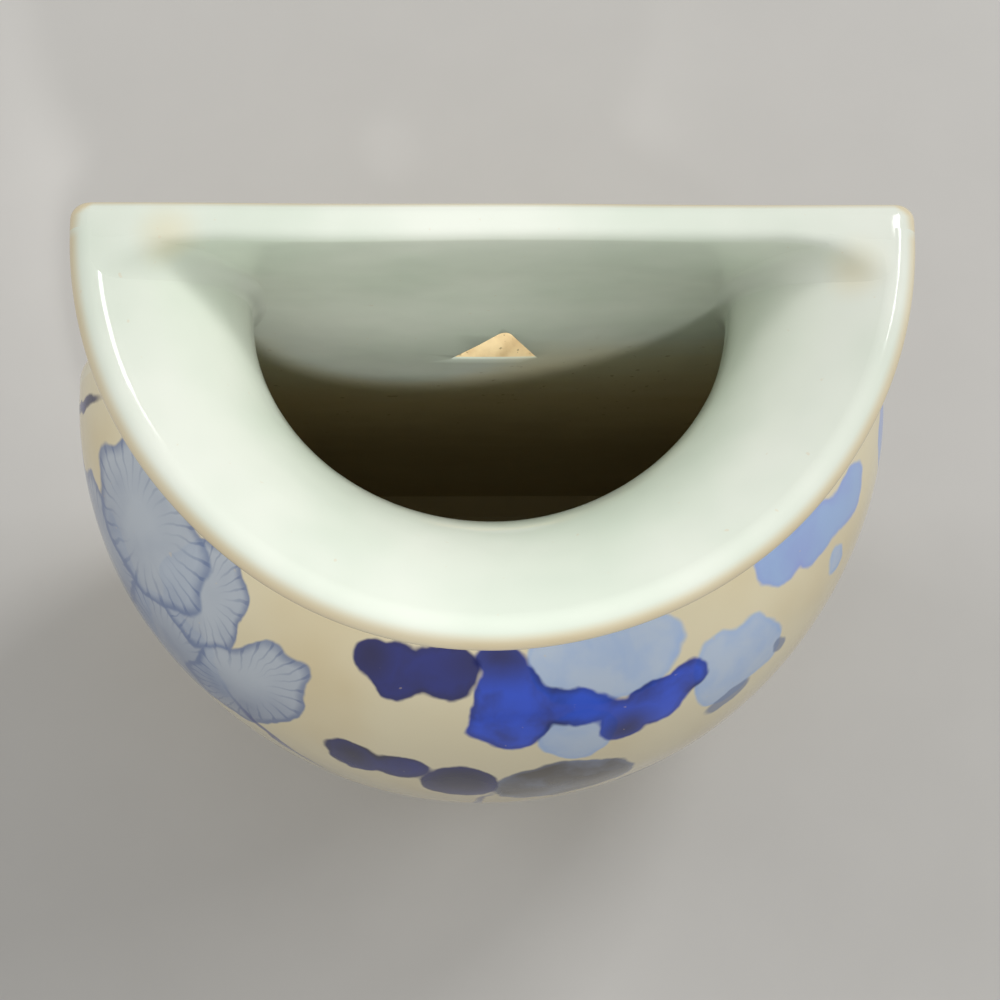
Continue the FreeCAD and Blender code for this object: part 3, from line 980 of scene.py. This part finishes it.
def soften_edges(bm):
    """Round the tip of the hole first, then the outline on the wall side and the rim of the hole."""
    in_hole = [edge for edge in bm.edges if all(near_hole(vert.co) for vert in edge.verts)]
    through = [edge for edge in in_hole if not is_level(edge)]
    tip = max(through, key=lambda edge: edge.verts[0].co.z)
    tip_offset = HOLE_ROUND / math.tan((left_slope + right_slope) / 2)
    round_edges(bm, [tip], tip_offset, HOLE_TIP_STEPS)
    rim, wall_side = slab_edges(bm)
    round_edges(bm, wall_side, WALL_EDGE, WALL_EDGE_STEPS)
    round_edges(bm, [edge for edge in rim if edge.is_valid], HOLE_EDGE, HOLE_EDGE_STEPS)


print(f"slab {-AXIS_Y / MM:.1f} mm thick, rounded by {WALL_EDGE / MM:.1f} mm on the wall side")

# %% [markdown]
# The sheet is scored into small faces only after its edges are round, because a bevel that crosses
# narrow faces would fold them. Rows lie close together in the bead and columns in the corners, where the
# surface bends most. Then the inside face is pushed into its bead and bow.

# %% Back slab
SCORE_STEP = 5 * MM
ROUND_ROWS = 8
BEAD_ROWS = 24
LOWER_ROWS = 25
WIDE_COLUMNS = 8
CORNER_STEP = 0.75 * MM
CORNER_COLUMNS = 28
TUCK = 0.1 * MM


def score_sheet(bm):
    round_turns = [math.pi / 2 * step / ROUND_ROWS for step in range(1, ROUND_ROWS + 1)]
    drops = [TOP_ROUND * (1 - math.cos(turn)) for turn in round_turns]
    bead_span = BEAD_DEPTH - TOP_ROUND
    drops += [TOP_ROUND + bead_span * step / BEAD_ROWS for step in range(1, BEAD_ROWS + 1)]
    drops += [BEAD_DEPTH + SCORE_STEP * step for step in range(1, LOWER_ROWS + 1)]
    for drop in drops:
        score(bm, bm.faces, Vector((0, 0, LIP_LEVEL - drop)), Vector((0, 0, 1)))
    columns = [SCORE_STEP * step for step in range(WIDE_COLUMNS)]
    columns += [columns[-1] + CORNER_STEP * step for step in range(1, CORNER_COLUMNS + 1)]
    for column in columns:
        for side in (-1, 1):
            score(bm, bm.faces, Vector((side * column, 0, 0)), Vector((1, 0, 0)))


def swell_sheet(bm):
    """Push the inside face into its bead and bow. Beside the lip it is tucked just under the roll."""
    for vert in bm.verts:
        depth = vert.co.y / AXIS_Y
        lift = bead(vert.co) if abs(vert.co.y - AXIS_Y) < NEAR else 0
        vert.co.y += lift - bow(vert.co) * depth
        if lift < 0 and abs(vert.co.x) > lip_centre[0]:
            vert.co.z -= TUCK


def slab_side(place, normal):
    """Towards the wall or sideways counts as outside.

    The small faces round the hole and the bead by the lip bend the normals, so the hole's rim goes by
    its depth there, and the lip's roll by its circle.
    """
    if near_hole(place):
        return math.copysign(1, place.y - AXIS_Y / 2)
    across = abs(place.x) - lip_centre[0]
    above = place.z - lip_centre[1]
    if across > 0 and above > 0:
        sideways = across / math.hypot(across, above)
    else:
        sideways = math.copysign(normal.x, normal.x * place.x)
    return max(normal.y, 0) + sideways


def make_back_slab():
    bm = bmesh.new()
    draw_slab_face(bm)
    cut_hole(bm)
    thicken(bm)
    soften_edges(bm)
    score_sheet(bm)
    swell_sheet(bm)
    make_uneven(bm)
    finish_piece(bm, "back_wall", "back_slab", [glaze, bare_clay], slab_side)


make_back_slab()

# %% [markdown]
# ## The seam coils
# Inside, the potter presses a thin coil of clay into the corner between shell and slab and wipes it
# hollow with a finger. Each coil is a set of side views, drawn from the slab to the shell and bridged
# into a long hollow fillet. It is thin in the belly and widens towards the lip, where it ends level with
# the top and fills the corner softly.

# %% Lines of a seam coil
COIL_SKIN = 0.012 * MM
COIL_START = FLOOR_LEVEL + 3.2 * MM
COIL_THIN = 0.45
COIL_FLAT = 0.3 * MM
COIL_LOWER_STEPS = 24
COIL_FLARE_STEPS = 36
COIL_LIP_STEPS = 8


def level_off(height):
    """A height that stops at the top of the lip, with a soft bend just below it."""
    drop = LIP_LEVEL - height
    if drop > COIL_FLAT:
        return height
    return LIP_LEVEL - max(drop + COIL_FLAT, 0) ** 2 / (4 * COIL_FLAT)


def press_in(vert, inset, out):
    """Set a point of the coil in from the mouth's clay and out from the slab.

    It is sunk in both by a skin, so that no gap shows.
    """
    keep = COIL_THIN
    if vert.co.z > LAND_LEVEL:
        lift = math.atan2(vert.co.z - inner_centre[1], inner_centre[0] - vert.co.x)
        keep += (1 - COIL_THIN) * ease(lift / inner_turn)
        on_lip = lift > inner_turn
        centre, radius = (lip_centre, LIP_ROLL) if on_lip else (inner_centre, inner_radius)
        middle = Vector((centre[0], AXIS_Y, centre[1]))
        vert.co = middle + (vert.co - middle).normalized() * (radius + inset * keep - COIL_SKIN)
        vert.co.z = level_off(vert.co.z)
    away = out * keep - COIL_SKIN
    vert.co.x = math.sqrt(vert.co.x ** 2 - away ** 2)
    vert.co.y = AXIS_Y - away + bead(vert.co)


def draw_coil_line(bm, inset, out):
    """The shell's inner side view from the floor to the lip, pressed into the corner."""
    thin = inset * COIL_THIN - COIL_SKIN
    start_radius = lower_radius - WALL - thin
    start = math.asin((COIL_START - BELLY_LEVEL) / start_radius)
    known = set(bm.edges)
    pen = put_pen(bm, lower_centre[0] + start_radius * math.cos(start), COIL_START)
    pen = draw_arc(bm, pen, lower_centre, -start, COIL_LOWER_STEPS)
    pen = draw_arc(bm, pen, shoulder_centre, shoulder_turn, INNER_SHOULDER_STEPS)
    pen = draw_arc(bm, pen, neck_centre, -shoulder_turn, NECK_STEPS)
    pen = draw_line(bm, pen, THROAT_RADIUS - thin, LAND_LEVEL)
    pen = draw_arc(bm, pen, inner_centre, -inner_turn, COIL_FLARE_STEPS)
    draw_arc(bm, pen, lip_centre, inner_turn - math.pi / 2, COIL_LIP_STEPS)
    line = [edge for edge in bm.edges if edge not in known]
    for vert in {vert for edge in line for vert in edge.verts}:
        press_in(vert, inset, out)
    return line


print(f"a coil starts {(COIL_START - FLOOR_LEVEL) / MM:.1f} mm above the floor")

# %% [markdown]
# The lines follow a quarter of a circle, hollow side out, as the finger leaves it. One more line lies
# inside the clay, behind the corner, so that bridging all of them makes a closed piece.

# %% Seam coils
COIL = 5 * MM
COIL_SINK = 0.4 * MM
COIL_SECTIONS = 11


def make_seam_coil(name, node, side):
    bm = bmesh.new()
    shares = [FINE + (1 - 2 * FINE) * step / (COIL_SECTIONS - 1) for step in range(COIL_SECTIONS)]
    angles = [math.pi / 2 * share for share in (0, *shares, 1)]
    sections = [(COIL * (1 - math.sin(angle)), COIL * (1 - math.cos(angle))) for angle in angles]
    sections.append((-COIL_SINK, -COIL_SINK))
    lines = [draw_coil_line(bm, inset, out) for inset, out in sections]
    for line, after in zip(lines, lines[1:] + lines[:1]):
        bmesh.ops.bridge_loops(bm, edges=line + after)
    bmesh.ops.holes_fill(bm, edges=[edge for edge in bm.edges if edge.is_boundary])
    bmesh.ops.scale(bm, vec=(side, 1, 1), verts=bm.verts[:])
    make_uneven(bm)
    finish_piece(bm, name, node, [glaze], lambda place, normal: -1)


make_seam_coil("wiped_seam_left", "seam_coil_left", -1)
make_seam_coil("wiped_seam_right", "seam_coil_right", 1)

# %% [markdown]
# ## Floor and foot
# The floor, its coil and the foot are hidden in normal use and their plain shapes are right as they
# are in the frame, so they keep them and only get their clay.

# %% Floor and foot
for node, material in (("floor", browned_clay), ("floor_coil", browned_clay), ("foot_ring", bare_clay)):
    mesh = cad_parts[node].data
    mesh.materials.clear()
    mesh.materials.append(material)
    print(node, "gets", material.name)

# %% [markdown]
# ## Studio
# The vase stands on a plain pale floor under an even white sky. The floor is nearly one grey, with a
# trace of grit, so that it carries the shadow and doesn't draw the eye.

# %% Ground and sky
GROUND_SIZE = 6
GROUND_DARK = tint(200, 198, 194)
GROUND_LIGHT = tint(206, 204, 200)
GRIT_WAVES = 0.05
GRIT_RELIEF = 0.02
GROUND_ROUGHNESS = 0.85
GROUND_ROUGHER = 0.1
WHITE = (1, 1, 1, 1)
SKY_STRENGTH = 0.40

scene = bpy.context.scene
bpy.ops.mesh.primitive_plane_add(size=GROUND_SIZE, location=(0, 0, foot_low.z))
ground = bpy.context.object
ground.name = "ground"
material, shader, place = new_material("ground")
grit = place.noise(GRIT_WAVES, detail=4)
grit_colour = grit.colours(GROUND_DARK, GROUND_LIGHT)
plug(shader, grit_colour, GROUND_ROUGHNESS + grit * GROUND_ROUGHER, grit * GRIT_RELIEF)
ground.data.materials.append(material)

world = bpy.data.worlds.new("studio")
scene.world = world
world.use_nodes = True
sky = world.node_tree.nodes["Background"]
sky.inputs["Color"].default_value = WHITE
sky.inputs["Strength"].default_value = SKY_STRENGTH
print(f"ground at {foot_low.z / MM:.0f} mm, sky at {SKY_STRENGTH:.2f}")

# %% [markdown]
# Soft light shows the glaze. The key light stands behind on the right, as a window would, and draws a
# thin line of light along the lip. Weaker panels on both sides and in front fill the shadows. They are
# hidden from reflections, so the glaze shows one window only. A narrow spot shines through the mouth on
# to the inside of the slab.

# %% Light
PANEL_AIM = (0, -0.03, 0.02)
SNOOT_AIM = (-0.014, -0.004, -0.015)
SNOOT_ANGLE = math.radians(7.2)
SNOOT_SOFTNESS = 0.045


def add_light(name, kind, place, power, target):
    light = bpy.data.lights.new(name, kind)
    light.energy = power
    lamp = bpy.data.objects.new(name, light)
    lamp.location = place
    lamp.rotation_euler = (Vector(target) - lamp.location).to_track_quat("-Z", "Y").to_euler()
    scene.collection.objects.link(lamp)
    print(name, "light of", power, "W")
    return lamp


def add_panel(name, place, power, width, length, mirrored=False):
    """A rectangle of light. Only a mirrored one shows in the glaze."""
    panel = add_light(name, "AREA", place, power, PANEL_AIM)
    panel.data.shape = "RECTANGLE"
    panel.data.size = width
    panel.data.size_y = length
    panel.visible_glossy = mirrored


add_panel("window", place=(0.46, 0.44, 0.90), power=3.5, width=0.28, length=0.28, mirrored=True)
add_panel("right", place=(0.75, 0.20, 0.50), power=1.8, width=0.30, length=0.20)
add_panel("left", place=(-0.74, 0.24, 0.44), power=1.7, width=0.40, length=0.40)
add_panel("front", place=(-0.08, -0.50, 0.98), power=0.7, width=0.6, length=0.6)
snoot = add_light("snoot", "SPOT", place=(0.10, -0.47, 0.68), power=22, target=SNOOT_AIM)
snoot.data.spot_size = SNOOT_ANGLE
snoot.data.spot_blend = 1.0
snoot.data.shadow_soft_size = SNOOT_SOFTNESS
snoot.visible_glossy = False

# %% [markdown]
# The camera looks steeply down into the mouth, from less than half a metre, so the mouth looks as wide
# as the belly below it, though it is narrower. Its place and turn are fitted to the outlines of rim,
# throat and belly. The Standard view shows colours about as they are written.

# %% Camera
CAMERA_PLACE = (-11.8 * MM, -125.55 * MM, 373.0 * MM)
CAMERA_TURN = [math.radians(angle) for angle in (14.29, -1.90, -0.63)]
CAMERA_LENS = 93.6
CAMERA_SENSOR = 36
CAMERA_CLIP = 0.01

camera = bpy.data.objects.new("camera", bpy.data.cameras.new("camera"))
scene.collection.objects.link(camera)
camera.location = CAMERA_PLACE
camera.rotation_euler = CAMERA_TURN
camera.data.lens = CAMERA_LENS
camera.data.sensor_width = CAMERA_SENSOR
camera.data.clip_start = CAMERA_CLIP
scene.camera = camera
scene.view_settings.view_transform = "Standard"
print(f"camera {Vector(CAMERA_PLACE).length:.2f} m from the hanging hole")

# %% [markdown]
